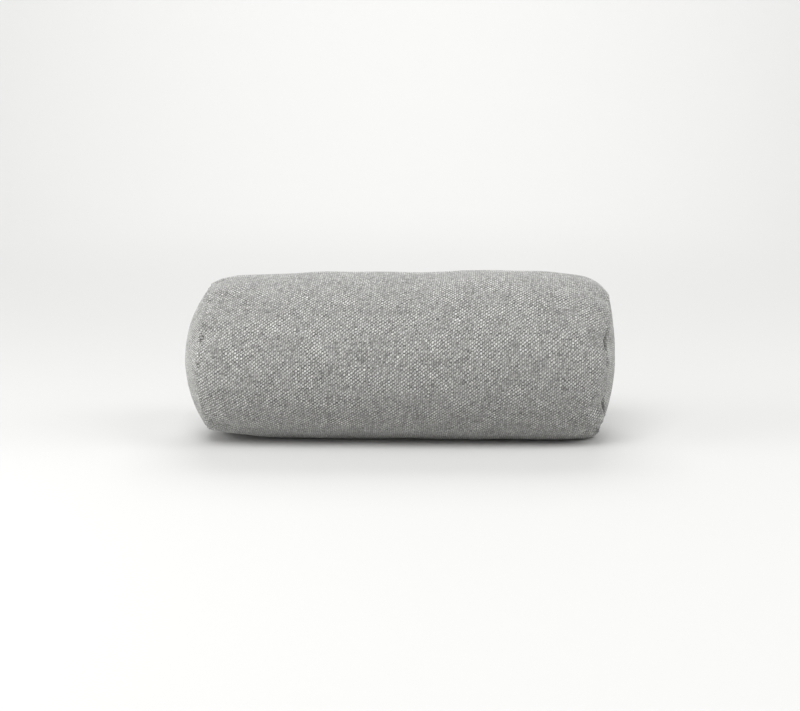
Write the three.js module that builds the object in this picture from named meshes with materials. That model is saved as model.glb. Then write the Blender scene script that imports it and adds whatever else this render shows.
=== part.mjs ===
// A bolster cushion: a stuffed roll of woven wool cloth with a round panel of the same cloth sewn over each
// end, lying on its side. Sizes are in millimetres and angles in degrees. X runs along the roll, the front
// faces -Y, +Z is up, and the cushion rests on Z = 0 with the origin under its middle.

import * as THREE from "three";

// Driving dimensions
const LENGTH = 500; // over the tops of both domed ends
const AXIS_HEIGHT = 94.25; // the roll's axis above the surface it lies on
const CLOTH = 2; // thickness of an end panel
const SEWN_GAP = 0.3; // room between the roll and each end panel
const REST_BLEND = 1.5; // height over which the flat underside turns up into the round
const TROUGH_START = 2; // distance from a seam over which a pucker's trough deepens

// How finely the surfaces are divided
const AROUND = 80; // points around the roll
const ALONG = 38; // steps from seam to seam
const ACROSS = 7; // steps from the middle of an end panel to its seam

// Half sizes of the stuffed roll at stations along X. It is slimmer towards the left end.
const SECTIONS = [
  { x: -240, up: 93.5, down: 90.6, side: 94.5 },
  { x: -170, up: 94.8, down: 92.9, side: 97.0 },
  { x: -100, up: 97.4, down: 96.2, side: 99.0 },
  { x: -40, up: 98.0, down: 96.8, side: 100.0 },
  { x: 20, up: 98.4, down: 97.3, side: 100.5 },
  { x: 80, up: 99.8, down: 98.8, side: 101.5 },
  { x: 140, up: 99.8, down: 99.4, side: 101.5 },
  { x: 250, up: 99.0, down: 99.4, side: 100.0 },
];

// The two seams, a row for each quarter of the ring in turn: how far it lies from the middle along X, its
// radius about the roll's axis, and the length over which the roll rounds down to it.
const LEFT_SEAM = [
  { quarter: "front", distance: 228, radius: 84, shoulder: 50 },
  { quarter: "top", distance: 219.5, radius: 83, shoulder: 46 },
  { quarter: "back", distance: 225, radius: 84, shoulder: 50 },
  { quarter: "underside", distance: 221.5, radius: 86.5, shoulder: 54 },
];
const RIGHT_SEAM = [
  { quarter: "front", distance: 232, radius: 82, shoulder: 58 },
  { quarter: "top", distance: 241, radius: 72, shoulder: 82 },
  { quarter: "back", distance: 235, radius: 81, shoulder: 60 },
  { quarter: "underside", distance: 233, radius: 88.5, shoulder: 34 },
];
const ENDS = {
  left: { side: -1, seam: LEFT_SEAM },
  right: { side: 1, seam: RIGHT_SEAM },
};

// The layers of a domed end: how far each is inset from the outer face, and its rim set back from the seam
const OUTER_FACE = { inset: 0, back: 0 };
const INNER_FACE = { inset: CLOTH, back: 0 };
const FILLING = { inset: CLOTH + SEWN_GAP, back: SEWN_GAP };

// Rounding of the roll's shoulders and of the domed ends: 2 is a circle's, and more is squarer.
const SHOULDER_POWER = 1.85;
const DOME_POWER = 2.1;

// Puckers where the cloth gathers into a seam. Each pulls the seam towards the roll's middle and inwards,
// and runs out over its reach as a soft trough. The spread is its half width around the ring.
const PUCKERS = [
  { end: "left", angle: 25, pull: 2.5, depth: 3.0, spread: 6, reach: 15 },
  { end: "left", angle: 84, pull: 1.0, depth: 1.5, spread: 5, reach: 12 },
  { end: "left", angle: 128, pull: 1.5, depth: 2.2, spread: 6, reach: 16 },
  { end: "left", angle: 171, pull: 2.0, depth: 2.6, spread: 5, reach: 18 },
  { end: "left", angle: 222, pull: 1.5, depth: 2.4, spread: 7, reach: 16 },
  { end: "left", angle: 283, pull: 1.5, depth: 2.0, spread: 6, reach: 14 },
  { end: "left", angle: 325, pull: 1.0, depth: 1.4, spread: 6, reach: 12 },
  { end: "right", angle: 21, pull: 3.0, depth: 4.0, spread: 6, reach: 17 },
  { end: "right", angle: 62, pull: 1.0, depth: 1.5, spread: 6, reach: 12 },
  { end: "right", angle: 112, pull: 1.5, depth: 2.0, spread: 6, reach: 16 },
  { end: "right", angle: 158, pull: 2.0, depth: 2.8, spread: 6, reach: 16 },
  { end: "right", angle: 205, pull: 1.5, depth: 2.2, spread: 5, reach: 18 },
  { end: "right", angle: 254, pull: 1.5, depth: 2.0, spread: 6, reach: 14 },
  { end: "right", angle: 302, pull: 3.5, depth: 5.0, spread: 6, reach: 20 },
  { end: "right", angle: 331, pull: 3.0, depth: 3.0, spread: 6, reach: 12 },
];

// Broad unevenness of the filling: waves along the roll and whole waves around it.
const LUMPS = [
  { along: 173, around: 2, start: 40, height: 0.9 },
  { along: 96, around: 3, start: 115, height: 0.6 },
  { along: 61, around: 4, start: 250, height: 0.4 },
];
const LUMP_FADE = 40; // distance from a seam over which the unevenness dies away

const radians = THREE.MathUtils.degToRad;
const directionAt = (angle) => new THREE.Vector3(0, -Math.cos(radians(angle)), Math.sin(radians(angle)));
const mean = (rows, column) => rows.reduce((sum, row) => sum + row[column], 0) / rows.length;

// Smooth curves through the sections' columns: up, down and side
const sections = new THREE.CubicInterpolant(
  SECTIONS.map((row) => row.x),
  SECTIONS.flatMap((row) => [row.up, row.down, row.side]),
  3,
);

// Radius of the full roll at x, in the direction of the angle
function fullRadius(x, angle) {
  const [up, down, side] = sections.evaluate(x);
  const { y, z } = directionAt(angle);
  return 1 / Math.hypot(y / side, z / (z > 0 ? up : down));
}

// A seam's column at the angle, passing smoothly from each quarter's value to the next
function aroundSeam(end, column, angle) {
  const turn = (((angle % 360) + 360) % 360) / 90;
  const quarter = Math.floor(turn);
  const share = Math.sin(radians((turn - quarter) * 90)) ** 2;
  const rows = ENDS[end].seam;
  return THREE.MathUtils.lerp(rows[quarter][column], rows[(quarter + 1) % 4][column], share);
}

// What an end's puckers take away at the angle, a given distance from the seam: their column's whole sum
function puckered(end, column, angle, distance) {
  let sum = 0;
  for (const pucker of PUCKERS.filter((row) => row.end === end)) {
    const away = ((((angle - pucker.angle) % 360) + 540) % 360) - 180;
    sum += pucker[column] * Math.exp(-((away / pucker.spread) ** 2) - (distance / pucker.reach) ** 2);
  }
  return sum;
}

const seamDistance = (end, angle) => aroundSeam(end, "distance", angle) - puckered(end, "pull", angle, 0);
const seamRadius = (end, angle) => aroundSeam(end, "radius", angle) - puckered(end, "depth", angle, 0) / 2;

// How far the roll has still to rise, as a share, at a distance from the seam
function shoulderDrop(end, angle, distance) {
  const inward = Math.max(0, 1 - distance / aroundSeam(end, "shoulder", angle));
  return 1 - (1 - inward ** SHOULDER_POWER) ** (1 / SHOULDER_POWER);
}

function lumps(x, angle) {
  let sum = 0;
  for (const { along, around, start, height } of LUMPS) {
    const wave = Math.sin(radians((360 * x) / along + start));
    sum += height * wave * Math.cos(radians(around * angle + start));
  }
  return sum;
}

// The filling's weight presses the underside flat, and the flat turns up softly into the round.
function restedHeight(height) {
  if (height > REST_BLEND) return height;
  return Math.max(0, height + REST_BLEND) ** 2 / (4 * REST_BLEND);
}

// A point on the roll's side, at a share of the way from the left seam to the right one
function sidePoint(share, angle) {
  const from = -(seamDistance("left", angle) - SEWN_GAP);
  const x = THREE.MathUtils.lerp(from, seamDistance("right", angle) - SEWN_GAP, share);
  const full = fullRadius(x, angle);
  let radius = full;
  let fade = 1;
  for (const end of Object.keys(ENDS)) {
    const distance = Math.max(0, seamDistance(end, angle) - ENDS[end].side * x);
    radius -= (full - seamRadius(end, angle)) * shoulderDrop(end, angle, distance);
    radius -= (puckered(end, "depth", angle, distance) * distance) / (distance + TROUGH_START);
    fade *= 1 - Math.exp(-((distance / LUMP_FADE) ** 2));
  }
  const point = directionAt(angle).multiplyScalar(radius + lumps(x, angle) * fade).setX(x);
  return point.setZ(restedHeight(point.z + AXIS_HEIGHT) - AXIS_HEIGHT);
}

// A point on a domed end's layer, at a share of the way from its middle to the seam
function domePoint(end, share, angle, { inset, back }) {
  const { side, seam } = ENDS[end];
  const [, top, , underside] = seam;
  const evenSeam = mean(seam, "distance");
  const unevenness = (aroundSeam(end, "distance", angle) - evenSeam) * share ** 2;
  const rise = (LENGTH / 2 - inset - evenSeam + back) * (1 - share ** DOME_POWER);
  const radius = seamRadius(end, angle);
  const pull = puckered(end, "pull", angle, radius * (1 - share));
  const x = evenSeam - back + rise + unevenness - pull;
  const rim = directionAt(angle).multiplyScalar((radius - inset) * share);
  const middle = ((top.radius - underside.radius) / 2) * (1 - share);
  return new THREE.Vector3(side * x, rim.y, rim.z + middle);
}

const angles = Array.from({ length: AROUND }, (_, i) => (360 * i) / AROUND);
const ringOf = (pointAt) => angles.map(pointAt);

// Rings of a dome from its middle out to the seam, closer together towards the seam
function domeRings(end, layer) {
  return Array.from({ length: ACROSS }, (_, i) => {
    const share = Math.sin(((i + 1) / ACROSS) * (Math.PI / 2));
    return ringOf((angle) => domePoint(end, share, angle, layer));
  });
}

// A closed surface through rings of like points, from a first middle point to a last one
function closedLoft(first, rings, last) {
  const points = [first, ...rings.flat(), last];
  const faces = [];
  const at = (ring, i) => 1 + ring * AROUND + (i % AROUND);
  for (let i = 0; i < AROUND; i++) {
    faces.push(0, at(0, i), at(0, i + 1));
    for (let ring = 0; ring + 1 < rings.length; ring++) {
      faces.push(at(ring, i), at(ring + 1, i), at(ring + 1, i + 1));
      faces.push(at(ring, i), at(ring + 1, i + 1), at(ring, i + 1));
    }
    faces.push(points.length - 1, at(rings.length - 1, i + 1), at(rings.length - 1, i));
  }
  const geometry = new THREE.BufferGeometry().setFromPoints(points).setIndex(faces);
  geometry.computeVertexNormals();
  return geometry;
}

// The stuffed roll: the side from seam to seam, closed by the two domes that fill the end panels
function rollGeometry() {
  const left = domeRings("left", FILLING);
  const right = domeRings("right", FILLING).reverse();
  const side = Array.from({ length: ALONG + 1 }, (_, i) => {
    const share = (1 - Math.cos((Math.PI * i) / ALONG)) / 2;
    return ringOf((angle) => sidePoint(share, angle));
  });
  const first = domePoint("left", 0, 0, FILLING);
  const last = domePoint("right", 0, 0, FILLING);
  return closedLoft(first, [...left, ...side, ...right], last);
}

// A round end panel: its outer face from the middle to the seam, and its inner face back again
function panelGeometry(end) {
  const outer = domeRings(end, OUTER_FACE);
  const inner = domeRings(end, INNER_FACE).reverse();
  const faces = [domePoint(end, 0, 0, OUTER_FACE), domePoint(end, 0, 0, INNER_FACE)];
  const rings = [...outer, ...inner];
  if (end === "right") {
    faces.reverse();
    rings.reverse();
  }
  return closedLoft(faces[0], rings, faces[1]);
}

const woolCloth = () => new THREE.MeshStandardMaterial({ color: "#9a9a97", roughness: 0.95, metalness: 0 });

function piece(name, geometry) {
  const mesh = new THREE.Mesh(geometry, woolCloth());
  mesh.name = name;
  return mesh;
}

// The pieces are made about the roll's axis, and the whole cushion is stood on its surface.
const cushion = new THREE.Group();
cushion.add(piece("filled_roll", rollGeometry()));
cushion.add(piece("end_panel_left", panelGeometry("left")));
cushion.add(piece("end_panel_right", panelGeometry("right")));
cushion.position.z = AXIS_HEIGHT;

export default cushion;
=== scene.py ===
import math

import bpy
import numpy as np
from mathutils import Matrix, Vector
from mathutils.bvhtree import BVHTree


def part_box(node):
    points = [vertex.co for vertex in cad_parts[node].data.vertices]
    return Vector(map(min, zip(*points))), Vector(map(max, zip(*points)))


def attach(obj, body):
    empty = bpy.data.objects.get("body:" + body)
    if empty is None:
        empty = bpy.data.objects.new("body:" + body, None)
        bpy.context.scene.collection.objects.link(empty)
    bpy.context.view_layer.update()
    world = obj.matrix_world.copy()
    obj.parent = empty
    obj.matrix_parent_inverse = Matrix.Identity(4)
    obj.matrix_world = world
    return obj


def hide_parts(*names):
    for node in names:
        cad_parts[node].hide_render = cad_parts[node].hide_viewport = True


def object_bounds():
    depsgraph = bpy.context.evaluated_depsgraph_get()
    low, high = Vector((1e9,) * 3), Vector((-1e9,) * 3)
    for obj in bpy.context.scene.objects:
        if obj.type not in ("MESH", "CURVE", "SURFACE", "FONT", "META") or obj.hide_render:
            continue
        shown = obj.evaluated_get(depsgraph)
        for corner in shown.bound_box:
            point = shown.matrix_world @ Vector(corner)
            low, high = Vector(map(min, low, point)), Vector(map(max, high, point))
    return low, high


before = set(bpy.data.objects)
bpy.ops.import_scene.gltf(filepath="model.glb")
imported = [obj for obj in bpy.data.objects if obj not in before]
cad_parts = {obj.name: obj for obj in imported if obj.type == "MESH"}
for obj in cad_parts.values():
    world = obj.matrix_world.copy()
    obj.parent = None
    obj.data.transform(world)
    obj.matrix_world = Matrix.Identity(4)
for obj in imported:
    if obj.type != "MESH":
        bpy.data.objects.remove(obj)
cad_low, cad_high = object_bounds()


# The stuffed form. A bolster is a rectangle of wool cloth rolled into a tube and packed with fibre, with a
# round of the same cloth sewn over each end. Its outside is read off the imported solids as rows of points
# that follow the yarns: angle 0 is the front, and the columns go up and over the top.
COLUMNS = 152  # steps of the working grid around the roll
ROWS = 94  # steps along it, from the left seam to the right one
RINGS = COLUMNS // 8  # steps from the middle of a round end out to its seam
MIDDLE = (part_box("filled_roll")[0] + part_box("filled_roll")[1]) / 2
OUTSIDE = 0.5  # how far off the rays start, in metres
PIVOT_INSET = 0.06  # from a panel's inner edge to the point that the rays at a shoulder lean from
SEAM_LEANS = 15, 80  # degrees of lean between which a seam lies
HALVINGS = 24  # steps by which the search for a seam narrows down
SHOULDER_RAYS = 40
MIDDLE_RAYS = 80
SPOKE_RAYS = 60
ENDS = {"left": -1, "right": 1}
SEAM_ROW = {"left": 0, "right": -1}

skin_points = []
skin_faces = []
for name in ("filled_roll", "end_panel_left", "end_panel_right"):
    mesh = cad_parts[name].data
    if name == "end_panel_left":
        panels_from = len(skin_faces)
    start = len(skin_points)
    skin_points += [vertex.co.copy() for vertex in mesh.vertices]
    skin_faces += [[start + v for v in face.vertices] for face in mesh.polygons]
skin = BVHTree.FromPolygons(skin_points, skin_faces)


def outermost(inside, direction):
    """The solids' outer surface in a direction from a point inside, and whether that is an end panel."""
    place, _, face, _ = skin.ray_cast(inside + OUTSIDE * direction, -direction)
    return place, face >= panels_from


def leaning(toward, angle, tilt):
    """A direction out of the roll, at an angle around it and tilted from there towards an end."""
    around = Vector((0, -math.cos(angle), math.sin(angle)))
    return math.cos(tilt) * around + math.sin(tilt) * Vector((toward, 0, 0))


column_angles = [2 * math.pi * column / COLUMNS for column in range(COLUMNS)]
pivots = {
    "left": Vector((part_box("end_panel_left")[1].x + PIVOT_INSET, MIDDLE.y, MIDDLE.z)),
    "right": Vector((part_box("end_panel_right")[0].x - PIVOT_INSET, MIDDLE.y, MIDDLE.z)),
}


def seam_tilt(end, angle):
    """How far to lean towards an end to look straight at its seam, where roll gives way to panel."""
    low, high = (math.radians(lean) for lean in SEAM_LEANS)
    for _ in range(HALVINGS):
        tilt = (low + high) / 2
        if outermost(pivots[end], leaning(ENDS[end], angle, tilt))[1]:
            high = tilt
        else:
            low = tilt
    return low


def evenly(line, steps):
    """Points at even steps along a line, with both of its ends."""
    line = np.array(line)
    run = np.concatenate([[0], np.cumsum(np.linalg.norm(np.diff(line, axis=0), axis=1))])
    stations = np.linspace(0, run[-1], steps + 1)
    return np.stack([np.interp(stations, run, line[:, axis]) for axis in range(3)], axis=1)


def side_profile(angle):
    """The cloth's line from the left seam to the right one, down one column."""
    tilts = {end: seam_tilt(end, angle) for end in ENDS}
    rays = []
    for share in np.linspace(1, 0, SHOULDER_RAYS):
        rays.append((pivots["left"], leaning(-1, angle, share * tilts["left"])))
    for share in np.linspace(0, 1, MIDDLE_RAYS)[1:-1]:
        rays.append((pivots["left"].lerp(pivots["right"], share), leaning(0, angle, 0)))
    for share in np.linspace(0, 1, SHOULDER_RAYS):
        rays.append((pivots["right"], leaning(1, angle, share * tilts["right"])))
    return evenly([outermost(*ray)[0] for ray in rays], ROWS)


def end_profile(end, seam_point, middle):
    """The cloth's line from the middle of a round end out to a point of its seam."""
    line = []
    for share in np.linspace(0, 1, SPOKE_RAYS)[:-1]:
        across = middle + share * (seam_point - middle)
        line.append(outermost(Vector((0, across[1], across[2])), Vector((ENDS[end], 0, 0)))[0])
    return evenly([*line, seam_point], RINGS)


def eased(grid, passes, axis, closed):
    """Evens out a grid along one axis, which is either closed or keeps its two ends."""
    for _ in range(passes):
        even = (np.roll(grid, 1, axis) + 2 * grid + np.roll(grid, -1, axis)) / 4
        if not closed:
            for end in (0, -1):
                np.moveaxis(even, axis, 0)[end] = np.moveaxis(grid, axis, 0)[end]
        grid = even
    return grid


def rounded_off(grid):
    """Rounds off the flats of the solids' faces, which are a few grid steps wide."""
    return eased(eased(grid, 3, 0, False), 4, 1, True)


side = rounded_off(np.stack([side_profile(angle) for angle in column_angles], axis=1))
ends = {}
for end, row in SEAM_ROW.items():
    lines = [end_profile(end, seam_point, side[row].mean(0)) for seam_point in side[row]]
    ends[end] = rounded_off(np.stack(lines, axis=1))
    ends[end][-1] = side[row]

# Stuffing. The cloth is cut a little fuller than the seams that it is gathered into, more in some places than
# in others, and the fibre presses it out from inside. A cloth simulation with pressure gives the soft puckers
# that this makes along each seam, with both seams held where they are sewn.
FULLNESS = 0.08  # share by which the cut is wider than the sewn seam, at its fullest
FULLNESS_REACH = 0.035  # how far from the seam the extra width is taken up, in metres
FULL_PLACES = {5: 0.25, 9: 0.25, 14: 0.2}  # waves to the turn that make it uneven, and their strengths
LEAST_FULL = 0.05  # share of the fullness that is left where the waves are lowest
PRESS_FRAMES = 14  # frames of simulation that form the puckers
PUCKER_LIMIT = 0.003  # the most that a pucker moves the cloth, in metres
PUFF_KEPT = 0.3  # share kept of the swelling that a whole row has in common
PANEL_GATHER = 0.4  # how much the panels pucker against the tube, since they are cut to the seam's own size
BROAD_PASSES = 60  # passes of evening out around the roll that leave only broad swellings


def resampled(grid, places, closed):
    """A grid's rows read off at fractional places, along smooth curves through them."""
    first = np.floor(places).astype(int)
    share = (places - first).reshape(-1, *[1] * (grid.ndim - 1))
    picks = [first + step for step in (-1, 0, 1, 2)]
    picks = [pick % len(grid) if closed else np.clip(pick, 0, len(grid) - 1) for pick in picks]
    a, b, c, d = (grid[pick] for pick in picks)
    return b + share / 2 * (c - a + share * (2 * a - 5 * b + 4 * c - d + share * (3 * (b - c) + d - a)))


def square_walk(ring):
    """The grid places of one square ring in turn, starting in the middle of its first side."""
    if ring == 0:
        return np.array([(0, 0)])
    places = []
    for step in range(8 * ring):
        quarter, along = divmod(step + ring, 2 * ring)
        along -= ring
        places.append([(ring, along), (-along, ring), (-ring, -along), (along, -ring)][quarter % 4])
    return np.array(places)


def on_disc(field, rings):
    """What is given by ring and column, on a square grid whose square rings lie as circles."""
    across = np.concatenate([np.roll(field[1:2], COLUMNS // 2, 1), field])
    field = resampled(across, 1 + np.arange(rings + 1) * RINGS / rings, False)
    grid = np.zeros((2 * rings + 1, 2 * rings + 1) + field.shape[2:])
    for ring in range(rings + 1):
        walk = square_walk(ring)
        columns = np.arange(len(walk)) * COLUMNS / len(walk)
        grid[walk[:, 0] + rings, walk[:, 1] + rings] = resampled(field[ring], columns, True)
    return grid


def quads(grid, closed, flipped, turn=0):
    """The four corners of each face over a grid. A closed grid's last column joins its first, a turn on."""
    near = grid if closed else grid[:, :-1]
    far = np.roll(grid, -1, 1) if closed else grid[:, 1:]
    if turn:
        far = far.copy()
        far[:, -1] += turn
    corners = np.stack([near[:-1], near[1:], far[1:], far[:-1]], axis=-1).reshape(-1, 4)
    return corners[:, ::-1] if flipped else corners


side_index = np.arange(side.shape[0] * COLUMNS).reshape(side.shape[:2])
cloth_points = list(side.reshape(-1, 3))
end_index = {}
for end, field in ends.items():
    grid = on_disc(field, RINGS)
    index = np.zeros(grid.shape[:2], int)
    for ring in range(RINGS + 1):
        for step, (u, v) in enumerate(square_walk(ring) + RINGS):
            if ring == RINGS:
                index[u, v] = side_index[SEAM_ROW[end], step]
            else:
                index[u, v] = len(cloth_points)
                cloth_points.append(grid[u, v])
    end_index[end] = index
cloth_points = np.array(cloth_points)
cloth_faces = np.concatenate([
    quads(side_index, True, False),
    quads(end_index["left"], False, False),
    quads(end_index["right"], False, True),
])


def linked_mesh(name, points, faces):
    """A mesh object of points and faces, linked into the scene."""
    mesh = bpy.data.meshes.new(name)
    mesh.from_pydata(points.tolist(), [], faces.tolist())
    piece = bpy.data.objects.new(name, mesh)
    bpy.context.scene.collection.objects.link(piece)
    return piece


def fullness(points):
    """How much of the extra width each point takes, from 0 to 1."""
    seam_points = side[[0, -1]].reshape(-1, 3)
    nearest = np.full(len(points), np.inf)
    for seam_point in seam_points:
        nearest = np.minimum(nearest, np.linalg.norm(points - seam_point, axis=1))
    angle = np.arctan2(points[:, 2] - MIDDLE.z, -points[:, 1])
    uneven = np.full(len(points), 0.5)
    for waves, strength in FULL_PLACES.items():
        uneven += strength * np.sin(waves * angle + waves * np.sign(points[:, 0]))
    return np.clip(uneven, LEAST_FULL, 1) * np.exp(-((nearest / FULLNESS_REACH) ** 2))


def stuffed(points, faces):
    """The cloth's points once the filling has pressed it out."""
    cloth = linked_mesh("stuffing", points, faces)
    held = cloth.vertex_groups.new(name="held")
    held.add(np.unique(side_index[[0, -1]]).tolist(), 1.0, "REPLACE")
    plain = cloth.vertex_groups.new(name="plain")
    for point, share in enumerate(1 - fullness(points)):
        plain.add([point], share, "REPLACE")
    press = cloth.modifiers.new("press", "CLOTH")
    press.settings.quality = 5
    press.settings.mass = 0.3
    press.settings.tension_stiffness = 30
    press.settings.compression_stiffness = 30
    press.settings.shear_stiffness = 10
    press.settings.bending_stiffness = 10
    press.settings.use_pressure = True
    press.settings.uniform_pressure_force = 3
    press.settings.vertex_group_mass = "held"
    press.settings.vertex_group_shrink = "plain"
    press.settings.shrink_min = -FULLNESS
    press.settings.shrink_max = 0
    press.settings.effector_weights.gravity = 0
    press.point_cache.frame_end = PRESS_FRAMES
    for step in range(1, PRESS_FRAMES + 1):
        bpy.context.scene.frame_set(step)
    pressed = cloth.evaluated_get(bpy.context.evaluated_depsgraph_get()).to_mesh()
    moved = np.zeros(len(points) * 3)
    pressed.vertices.foreach_get("co", moved)
    bpy.context.scene.frame_set(1)
    bpy.data.objects.remove(cloth)
    return moved.reshape(-1, 3)


def outward(grid, toward=0):
    """Unit normals out of the cushion, over its side or over the end that lies toward -X or +X."""
    along = np.gradient(grid, axis=0)
    around = np.roll(grid, -1, 1) - np.roll(grid, 1, 1)
    normals = np.cross(along, around)
    if toward:
        normals *= toward * np.sign(normals[-1, :, 0].sum())
        normals[0] = (toward, 0, 0)
    return normals / np.linalg.norm(normals, axis=2, keepdims=True)


def puckers(grid, shift, toward=0):
    """How far out each point of a grid moves. The outline stays, but for a part of the swelling."""
    out = (shift * outward(grid, toward)).sum(2)
    broad = eased(out, BROAD_PASSES, 1, True)
    out += PUFF_KEPT * np.maximum(broad, 0) - broad
    return PUCKER_LIMIT * np.tanh(out / PUCKER_LIMIT)


moved = stuffed(cloth_points, cloth_faces)
shift = moved - cloth_points
side_puckers = puckers(side, shift[side_index])
end_puckers = {}
for end, toward in ENDS.items():
    rings = []
    for ring in range(RINGS + 1):
        walk = square_walk(ring) + RINGS
        values = shift[end_index[end][walk[:, 0], walk[:, 1]]]
        rings.append(resampled(values, np.arange(COLUMNS) * len(walk) / COLUMNS, True))
    end_puckers[end] = PANEL_GATHER * puckers(ends[end], np.array(rings), toward)

# The roll's cloth. It is a coarse plain weave of thick wool yarns, pale ones crossing darker ones, raised and
# felted a little. The tube is closed by a plain seam low on the back and gathered into the seams at its ends,
# and the filling inside it rounds out both ends under their panels.
YARNS_AROUND = 312  # yarns that the tube is wide
YARNS_ALONG = 192  # yarns that it is long
YARN_AROUND = 0.0020  # spacing of the yarns that lie along the roll, in metres
YARN_ALONG = 0.0024  # spacing of the yarns that go around it
WEAVE_RELIEF = 0.0002  # how far a crossing stands out or in
EDGE_FADE = 0.0015  # distance from a seam over which the weave flattens
SEWN_APART = 0.00015  # half the gap between the roll and an end panel along their seam
PANEL_THICKNESS = 0.0016  # of the felted wool cloth
PANEL_CLEARANCE = 0.001  # between an end panel and the filling under it
CLOSING_SEAM = 5 / 8  # the tube's own seam, as a share of the turn from the front over the top
CLOSING_DEPTH = 0.0009
CLOSING_WIDTH = 0.0016
STITCH_DIP = 0.0004  # how unevenly the stitches pull the cloth in beside a seam
STITCH_REACH = 0.004  # how far from a seam the stitches shape the cloth
SEAM_TURN = 0.001  # the first part of that, over which the cloth turns out of the seam
STITCH_WAVES = 55, 95  # dips to the turn, about 6 to 10 mm apart
TIGHTNESS_WAVES = 2, 9  # the same for places where the stitches are tighter or looser
STITCH_SEEDS = {"left": 21, "right": 31}
SEAM_ROLL = 0.0028  # how far the cloth rolls up beside a seam
PANEL_ROLL = 0.0006  # the same on the panel's side of it
# Tucks and creases: end, degrees up from the front, distance from its seam, which is negative on the panel,
# reach along the seam, reach across it, and depth, which is negative for a bulge. All in metres.
DRAWN_IN = [
    ("left", 22, 0.001, 0.006, 0.003, 0.009),
    ("left", -80, 0.02, 0.05, 0.03, 0.0015),
    ("right", 20, 0, 0.029, 0.0025, 0.007),
    ("right", -35, 0, 0.017, 0.0025, 0.0065),
    ("right", 38, 0.012, 0.007, 0.007, 0.002),
    ("right", -47, 0.013, 0.005, 0.011, -0.0025),
    ("right", -58, 0.013, 0.006, 0.008, 0.009),
    ("right", -66, 0.003, 0.005, 0.006, 0.006),
    ("right", -80, -0.035, 0.03, 0.025, 0.007),
    ("right", 100, 0.028, 0.03, 0.018, -0.002),
]
WADDING = 0.00018  # unevenness of the filling from place to place
WADDING_PASSES = 14
SEAM_ROWS = np.array([0.12, 0.25, 0.37, 0.75])  # extra rows near a seam, in steps of the working grid
WEFT_COLOUR = "b7b7b5"
WARP_COLOUR = "6c6c69"
WEAVE_WAVE = 0.5  # a yarn's rise over a crossing, against its own roundness of 1
TWIST_SLANT = 0.25  # how far the yarns' twist shears each rise, from 0 to 1
YARN_WANDER = 1.2  # how far a yarn strays from its straight line, in yarns
WANDER_RATE = 0.35  # bends of that line to a yarn crossed, so about 6 mm each
MELANGE_ALONG = 0.11  # changes of shade to a yarn crossed, so about 20 mm each
MELANGE_APART = 0.83  # the same from a yarn to its neighbour
BLOOM_WIDTH = 0.0222  # of the soft patches on the cloth
GRAIN_WIDTH = 0.000625  # of the felted grain


def linear(hex_colour):
    """An sRGB hex colour as linear red, green, blue and alpha."""
    channels = [int(hex_colour[i : i + 2], 16) / 255 for i in (0, 2, 4)]
    return [c / 12.92 if c <= 0.04045 else ((c + 0.055) / 1.055) ** 2.4 for c in channels] + [1]


def node(tree, kind, inputs, output=0, **settings):
    """Adds a node with its settings, its inputs fed by sockets or set, and gives one of its outputs."""
    added = tree.nodes.new("ShaderNode" + kind)
    for setting, value in settings.items():
        setattr(added, setting, value)
    for name, value in inputs.items():
        if isinstance(value, bpy.types.NodeSocket):
            tree.links.new(value, added.inputs[name])
        else:
            added.inputs[name].default_value = value
    return added.outputs[output] if added.outputs else added


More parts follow.
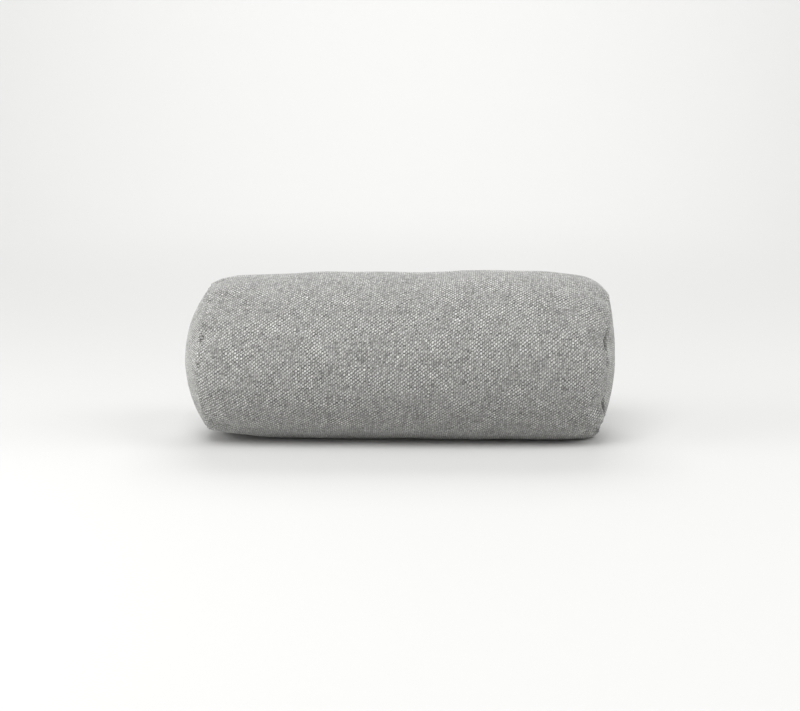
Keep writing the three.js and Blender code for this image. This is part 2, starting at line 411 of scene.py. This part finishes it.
def woven_wool():
    """Wool cloth in plain weave, drawn yarn by yarn. Its map counts yarns around the roll and along it."""
    material = bpy.data.materials.new("plain weave wool")
    material.use_nodes = True
    tree = material.node_tree
    tree.nodes.clear()

    def half_turns(count):
        """The cosine of half a turn to each count, so 1 at an even one and -1 at an odd one."""
        turned = node(tree, "Math", {0: count, 1: math.pi}, operation="MULTIPLY")
        return node(tree, "Math", {0: turned}, operation="COSINE")

    # The yarns are uneven in thickness and wander a little, which breaks up the regular checks.
    drawn = node(tree, "UVMap", {}, uv_map="yarns")
    bends = {"Vector": drawn, "Scale": WANDER_RATE, "Detail": 2.0}
    wander = node(tree, "TexNoise", bends, "Color", noise_dimensions="2D")
    yarns = node(tree, "VectorMath", {0: wander, 1: (YARN_WANDER,) * 3, 2: drawn}, operation="MULTIPLY_ADD")
    places = {
        "around": node(tree, "SeparateXYZ", {"Vector": yarns}, "X"),
        "along": node(tree, "SeparateXYZ", {"Vector": yarns}, "Y"),
    }
    nearest = {name: node(tree, "Math", {0: place}, operation="ROUND") for name, place in places.items()}

    # The yarns that go around are the weft, and each rises over every other warp yarn, which lies along the
    # roll. The spinning twist sets each rise askew, so that the checks line up more in one slant.
    heights = {}
    for name, own, other, rise in (
        ("weft", "along", "around", WEAVE_WAVE),
        ("warp", "around", "along", -WEAVE_WAVE),
    ):
        crown = node(tree, "Math", {0: half_turns(places[own])}, operation="ABSOLUTE")
        aside = node(tree, "Math", {0: places[own], 1: nearest[own]}, operation="SUBTRACT")
        askew = node(tree, "Math", {0: aside, 1: -TWIST_SLANT, 2: places[other]}, operation="MULTIPLY_ADD")
        wave = node(tree, "Math", {0: half_turns(nearest[own]), 1: half_turns(askew)}, operation="MULTIPLY")
        heights[name] = node(tree, "Math", {0: wave, 1: rise, 2: crown}, operation="MULTIPLY_ADD")
    height = node(tree, "Math", {0: heights["weft"], 1: heights["warp"]}, operation="MAXIMUM")
    weft_over = node(tree, "Math", {0: heights["weft"], 1: heights["warp"]}, operation="SUBTRACT")
    weft_share = node(tree, "MapRange", {"Value": weft_over, "From Min": -0.25, "From Max": 0.25})

    # Melange: each yarn's shade drifts along its length, and from yarn to yarn.
    shades = []
    for own, other, start in (("along", "around", 7.0), ("around", "along", 31.0)):
        drift = node(tree, "Math", {0: places[other], 1: MELANGE_ALONG}, operation="MULTIPLY")
        apart = node(tree, "Math", {0: nearest[own], 1: MELANGE_APART}, operation="MULTIPLY")
        place = node(tree, "CombineXYZ", {0: drift, 1: apart, 2: start})
        shades.append(node(tree, "TexNoise", {"Vector": place, "Scale": 1.0, "Detail": 3.0}))
    shade = node(tree, "Mix", {0: weft_share, 2: shades[1], 3: shades[0]})

    # The cloth's bloom lies in soft patches, where the checks show more or less.
    body = node(tree, "TexCoord", {}, "Object")
    patches = node(tree, "TexNoise", {"Vector": body, "Scale": 1 / BLOOM_WIDTH, "Detail": 2.0})
    contrast = node(
        tree,
        "MapRange",
        {"Value": patches, "From Min": 0.35, "From Max": 0.65, "To Min": 0.45, "To Max": 0.95},
    )
    even = node(tree, "Math", {0: weft_share, 1: 0.5}, operation="SUBTRACT")
    check = node(tree, "Math", {0: even, 1: contrast, 2: 0.5}, operation="MULTIPLY_ADD")
    cloth = node(
        tree, "Mix", {0: check, 6: linear(WARP_COLOUR), 7: linear(WEFT_COLOUR)}, 2, data_type="RGBA"
    )

    # Salt and pepper: light and dark fibres are carded together, so each crossing has a shade of its own.
    # Most are near the mean and a few are much darker.
    crossing = node(tree, "CombineXYZ", {0: nearest["around"], 1: nearest["along"]})
    chance = node(tree, "TexWhiteNoise", {"Vector": crossing}, "Value", noise_dimensions="2D")
    pepper = node(tree, "Math", {0: chance, 1: 0.5}, operation="POWER")

    # Wool fibres are too fine to show, so they are drawn as a felted grain much coarser than they are.
    grain = node(tree, "TexNoise", {"Vector": body, "Scale": 1 / GRAIN_WIDTH, "Detail": 2.0})
    factor = 1.0
    for source, low, high, darkest, palest in (
        (height, 0.25, 1.1, 0.52, 1.08),  # the gaps between yarns lie in shade
        (pepper, 0.0, 1.0, 0.54, 1.21),
        (shade, 0.3, 0.7, 0.78, 1.22),
        (patches, 0.3, 0.7, 0.93, 1.07),
        (grain, 0.3, 0.7, 0.68, 1.32),
    ):
        span = {"From Min": low, "From Max": high, "To Min": darkest, "To Max": palest}
        tone = node(tree, "MapRange", {"Value": source, **span})
        factor = node(tree, "Math", {0: factor, 1: tone}, operation="MULTIPLY")
    colour = node(tree, "VectorMath", {0: cloth, "Scale": factor}, operation="SCALE")

    rough = node(tree, "Math", {0: grain, 1: 0.25, 2: height}, operation="MULTIPLY_ADD")
    bump = node(tree, "Bump", {"Strength": 0.6, "Distance": 0.0003, "Height": rough})
    shader = node(
        tree,
        "BsdfPrincipled",
        {
            "Base Color": colour,
            "Roughness": 0.95,
            "Specular IOR Level": 0.2,
            "Sheen Weight": 0.42,
            "Sheen Roughness": 0.45,
            "Sheen Tint": linear("f2f2f0"),
            "Normal": bump,
        },
    )
    node(tree, "OutputMaterial", {"Surface": shader})
    return material


def clothed(name, points, sheets, material):
    """A piece of cloth as one smooth mesh. Each sheet is its faces and the yarn counts of their corners."""
    faces = np.concatenate([sheet[0] for sheet in sheets])
    piece = linked_mesh(name, points, faces)
    yarns = piece.data.uv_layers.new(name="yarns")
    corners = [np.stack(sheet[1:], axis=-1).reshape(-1) for sheet in sheets]
    yarns.data.foreach_set("uv", np.concatenate(corners))
    piece.data.polygons.foreach_set("use_smooth", [True] * len(faces))
    piece.data.materials.append(material)
    return piece


def waves_around(angle, low, high, seed):
    """Unevenness around a seam: waves of so many to the turn, with seeded strengths and starts."""
    chance = np.random.default_rng(seed)
    total = np.zeros_like(angle)
    for waves in range(low, high):
        total += chance.normal() * np.cos(waves * angle + chance.uniform(0, 2 * math.pi))
    return total / math.sqrt((high - low) / 2)


def sewn_edge(distance, angle, seed, roll):
    """How far the cloth stands out beside a seam, where stitches pull it in and it rolls up between them."""
    risen = 1 - np.exp(-distance / SEAM_TURN)
    rolled = roll * np.exp(-distance / STITCH_REACH)
    tightness = 1 + waves_around(angle, *TIGHTNESS_WAVES, seed + 1) / 2
    dips = STITCH_DIP * waves_around(angle, *STITCH_WAVES, seed) * tightness
    return risen * (rolled + dips * np.exp(-((distance / STITCH_REACH) ** 2)))


def drawn_in(points):
    """How far points are drawn into the filling at the tucks and creases."""
    total = np.zeros_like(points)
    for end, degrees, distance, along, across, depth in DRAWN_IN:
        angle = math.radians(degrees)
        column = round(degrees / 360 * COLUMNS) % COLUMNS
        line = (side[:: -ENDS[end]] if distance >= 0 else ends[end][::-1])[:, column]
        steps = abs(distance) / np.linalg.norm(line[1] - line[0])
        place = np.array([np.interp(steps, range(len(line)), line[:, axis]) for axis in range(3)])
        inward = np.array(pivots[end]) - place
        offset = points - place
        beside = offset @ np.array([0, math.sin(angle), math.cos(angle)])
        rest = (offset**2).sum(-1) - beside**2
        share = np.exp(-((beside / along) ** 2) - rest / across**2)
        total += depth * share[..., None] * inward / np.linalg.norm(inward)
    return total


def relief(around, along, distance):
    """The weave's own ups and downs at yarn counts around and along, flattened where it nears a seam."""
    crossing = np.cos(math.pi * around) * np.cos(math.pi * along)
    return WEAVE_RELIEF * crossing * (1 - np.exp(-((distance / EDGE_FADE) ** 2)))


def rested(points):
    """Points with none below the surface that the cushion lies on."""
    points[..., 2] = np.maximum(points[..., 2], 0)
    return points


def woven(index, around, along, closed, flipped, turn=0):
    """A sheet's faces over a grid, with the yarn counts of their corners."""
    counts = quads(around, closed, flipped, turn), quads(along, closed, flipped)
    return quads(index, closed, flipped), *counts


# The columns of the roll's cloth start at its closing seam, with a point for each yarn around.
first_yarn = round(CLOSING_SEAM * YARNS_AROUND)
yarn_places = np.arange(YARNS_AROUND)
column_places = (yarn_places + first_yarn) * COLUMNS / YARNS_AROUND
cloth_angle = 2 * math.pi * column_places / COLUMNS
row_places = np.sort([*np.linspace(0, ROWS, YARNS_ALONG + 1), *SEAM_ROWS, *(ROWS - SEAM_ROWS)])


def finely(field):
    """The side's working grid, or what is given on it, at a point for each yarn."""
    rows = np.swapaxes(resampled(field, row_places, False), 0, 1)
    return np.swapaxes(resampled(rows, column_places, True), 0, 1)


wadding = np.random.default_rng(11).normal(size=side.shape[:2])
wadding[[0, -1]] = 0
wadding = eased(eased(wadding, WADDING_PASSES, 0, False), WADDING_PASSES, 1, True)
wadding *= WADDING / wadding.std()

roll = finely(side)
roll_normals = outward(roll)
run = np.cumsum(np.linalg.norm(np.diff(roll, axis=0, prepend=roll[:1]), axis=2), axis=0)
from_seam = {"left": run, "right": run[-1] - run}
nearest_seam = np.minimum(from_seam["left"], from_seam["right"])
closing = np.minimum(yarn_places, YARNS_AROUND - yarn_places) * YARN_AROUND
around_yarns, along_yarns = np.meshgrid(yarn_places, row_places * YARNS_ALONG / ROWS)
rise = finely(side_puckers + wadding) + relief(around_yarns, along_yarns, np.minimum(nearest_seam, closing))
for end, seed in STITCH_SEEDS.items():
    rise += sewn_edge(from_seam[end], cloth_angle, seed, SEAM_ROLL)
rise -= CLOSING_DEPTH * np.exp(-((closing / CLOSING_WIDTH) ** 2)) * np.tanh(nearest_seam / STITCH_REACH)
roll = rested(roll + drawn_in(roll) + rise[..., None] * roll_normals)
for end, toward in ENDS.items():
    roll[SEAM_ROW[end], :, 0] -= toward * SEWN_APART


def domed(end, rings):
    """A round end with its puckers on a square grid, its normals, and the same places on the flat cloth."""
    dome = ends[end]
    spokes = np.linalg.norm(np.diff(dome, axis=0), axis=2).sum(0)
    out = np.linspace(0, spokes.mean(), RINGS + 1)[:, None, None]
    flat = out * np.stack([np.cos(column_angles), np.sin(column_angles)], axis=-1)
    normals = outward(dome, ENDS[end])
    puckered = on_disc(dome + end_puckers[end][..., None] * normals, rings)
    return puckered + drawn_in(puckered), on_disc(normals, rings), on_disc(flat, rings)


def rim_of(index):
    """The outermost ring of a square grid, in turn."""
    walk = square_walk(len(index) // 2) + len(index) // 2
    return index[walk[:, 0], walk[:, 1]]


roll_index = np.arange(roll.shape[0] * YARNS_AROUND).reshape(roll.shape[:2])
roll_points = [roll.reshape(-1, 3)]
roll_sheets = [woven(roll_index, around_yarns, along_yarns, True, False, YARNS_AROUND)]
# The filling's dome at each end has as many points at its rim as the roll, and a narrow band joins the two.
for end in ENDS:
    points, normals, flat = domed(end, YARNS_AROUND // 8)
    index = sum(map(len, roll_points)) + np.arange(points[..., 0].size).reshape(points.shape[:2])
    under = points - (PANEL_THICKNESS + PANEL_CLEARANCE) * normals
    roll_points.append(rested(under).reshape(-1, 3))
    yarns = flat[..., 0] / YARN_AROUND, flat[..., 1] / YARN_ALONG
    roll_sheets.append(woven(index, *yarns, False, end == "right"))
    rims = [rim_of(index), np.roll(roll_index[SEAM_ROW[end]], first_yarn)]
    band = np.array(rims if end == "left" else rims[::-1])
    roll_sheets.append(woven(band, np.zeros(band.shape), np.zeros(band.shape), True, False))

wool = woven_wool()
filled_roll = clothed("wool_roll", np.concatenate(roll_points), roll_sheets, wool)
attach(filled_roll, "root")
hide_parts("filled_roll")

# The end panels. Each is a round of the same wool, cut with its grain a little askew, and sewn to the tube
# right sides together, so that the seam shows as a soft valley with no stitches. The filling domes it.
PANEL_RINGS = 78  # rings of points from the middle of a panel out to its seam
GRAIN_TURN = {"left": math.radians(7), "right": math.radians(-12)}

for end, toward in ENDS.items():
    points, normals, flat = domed(end, PANEL_RINGS)
    reach = np.linalg.norm(flat, axis=2)
    radius = reach.max()
    angle = np.arctan2(flat[..., 1], flat[..., 0])
    turned = angle + GRAIN_TURN[end]
    yarns = reach * np.cos(turned) / YARN_AROUND, reach * np.sin(turned) / YARN_ALONG
    rise = relief(*yarns, radius - reach) + sewn_edge(radius - reach, angle, STITCH_SEEDS[end], PANEL_ROLL)
    outer = rested(points + rise[..., None] * normals)
    outer[..., 0] += toward * SEWN_APART
    inner = rested(points - PANEL_THICKNESS * normals)
    inner[..., 0] += toward * SEWN_APART

    outer_index = np.arange(reach.size).reshape(reach.shape)
    inner_index = outer_index + reach.size
    rims = [rim_of(outer_index), rim_of(inner_index)]
    band = np.array(rims if end == "left" else rims[::-1])
    sheets = [
        woven(outer_index, *yarns, False, end == "right"),
        woven(inner_index, *yarns, False, end == "left"),
        woven(band, np.zeros(band.shape), np.zeros(band.shape), True, False),
    ]
    panel = clothed(f"wool_end_{end}", np.concatenate([outer, inner]).reshape(-1, 3), sheets, wool)
    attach(panel, "root")
    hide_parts(f"end_panel_{end}")

# The studio. The cushion lies on pale matt paper that sweeps up all round like a shallow bowl. A soft lamp
# high at the front lights it, with fills at both sides and a broad lamp over the paper behind it.
FLOOR_COLOUR = "d8d8d7"
FLOOR_RADIUS = 3.2
FLOOR_DROP = 0.0003  # how far the paper lies below the cushion, so that they don't share a plane
SWEEP = 2.0  # radius of the paper's upward sweep
SWEEP_STEPS = 12
ROOM_LIGHT = 0.3
CAMERA_DISTANCE = 1.822
CAMERA_HEIGHT = math.radians(10)
CAMERA_DROP = 0.0029  # how far below the cushion's middle the camera aims
LENS = 70  # in millimetres, on a sensor 36 mm wide

stage_rings = [(0.0, 0.0), (FLOOR_RADIUS, 0.0)]
for step in range(1, SWEEP_STEPS + 1):
    turn = math.pi / 2 * step / SWEEP_STEPS
    stage_rings.append((FLOOR_RADIUS + SWEEP * math.sin(turn), SWEEP * (1 - math.cos(turn))))
stage_angles = np.linspace(0, 2 * math.pi, 96, endpoint=False)
stage_grid = np.array([
    [(r * math.cos(angle), r * math.sin(angle), z - FLOOR_DROP) for angle in stage_angles]
    for r, z in stage_rings
])
stage_index = np.arange(stage_grid[..., 0].size).reshape(stage_grid.shape[:2])
floor = linked_mesh("studio_floor", stage_grid.reshape(-1, 3), quads(stage_index, True, True))
floor.data.polygons.foreach_set("use_smooth", [True] * len(floor.data.polygons))
paper = bpy.data.materials.new("matt backdrop paper")
paper.use_nodes = True
paper_shader = paper.node_tree.nodes["Principled BSDF"]
paper_shader.inputs["Base Color"].default_value = linear(FLOOR_COLOUR)
paper_shader.inputs["Roughness"].default_value = 1.0
paper_shader.inputs["Specular IOR Level"].default_value = 0.0
floor.data.materials.append(paper)

room = bpy.data.worlds.new("soft white room")
room.use_nodes = True
room.node_tree.nodes["Background"].inputs["Color"].default_value = linear("ffffff")
room.node_tree.nodes["Background"].inputs["Strength"].default_value = ROOM_LIGHT
bpy.context.scene.world = room


def softbox(name, place, toward, size, power):
    """A square lamp turned toward a point. Places are in metres, and power in watts."""
    light = bpy.data.lights.new(name, "AREA")
    light.shape = "SQUARE"
    light.size = size
    light.energy = power
    lamp = bpy.data.objects.new(name, light)
    lamp.location = place
    lamp.rotation_euler = (Vector(toward) - Vector(place)).to_track_quat("-Z", "Y").to_euler()
    bpy.context.scene.collection.objects.link(lamp)


softbox("key", (-0.5, -1.6, 2.4), MIDDLE, 1.6, 46)
softbox("low left fill", (-1.1, -0.6, 0.35), MIDDLE, 0.6, 2.6)
softbox("left fill", (-2.2, -0.6, 0.9), MIDDLE, 1.2, 18)
softbox("right fill", (2.2, -0.4, 0.9), MIDDLE, 1.2, 13)
softbox("high right fill", (1.5, -0.9, 2.0), MIDDLE, 1.2, 13)
softbox("backdrop", (0, 3.2, 3.2), (0, 3.2, 0), 3, 110)

camera = bpy.data.objects.new("camera", bpy.data.cameras.new("camera"))
camera.data.lens = LENS
camera.data.sensor_width = 36
aim = (cad_low + cad_high) / 2 - Vector((0, 0, CAMERA_DROP))
back = Vector((0, -math.cos(CAMERA_HEIGHT), math.sin(CAMERA_HEIGHT)))
camera.location = aim + CAMERA_DISTANCE * back
camera.rotation_euler = (-back).to_track_quat("-Z", "Y").to_euler()
bpy.context.scene.collection.objects.link(camera)
bpy.context.scene.camera = camera
bpy.context.scene.view_settings.view_transform = "Standard"
